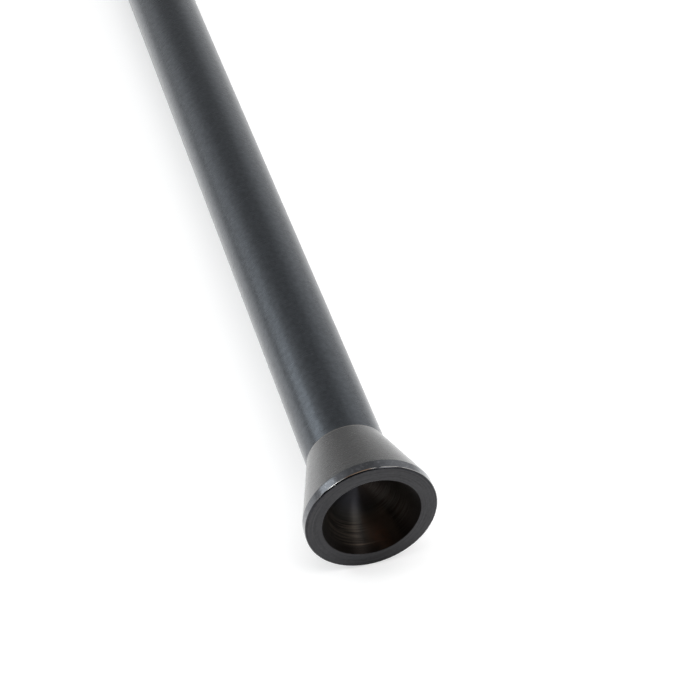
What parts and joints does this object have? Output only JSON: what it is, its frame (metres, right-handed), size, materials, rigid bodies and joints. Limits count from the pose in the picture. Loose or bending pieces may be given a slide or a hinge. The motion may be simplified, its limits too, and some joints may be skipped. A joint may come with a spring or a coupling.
{
  "type": "engine pushrod",
  "caption": "Slim solid steel engine pushrod with a flared conical cup and round ball seat at one end and a domed tip at the other; it carries a tappet's lift to a rocker arm.",
  "frame": {"origin": "centre of the cup's flat rim, on which the pushrod stands", "axes": "+Z along the rod's axis, from the cup towards the domed tip; X and Y are equal because the part is round"},
  "size_m": [0.0128, 0.0128, 0.22],
  "materials": {
    "blackened_steel": "black oxide: satin on the rod, fine turning marks on the cup, bright where the rim's edge is worn"
  },
  "bodies": {
    "root": {"pushrod": "blackened_steel"}
  },
  "joints": []
}
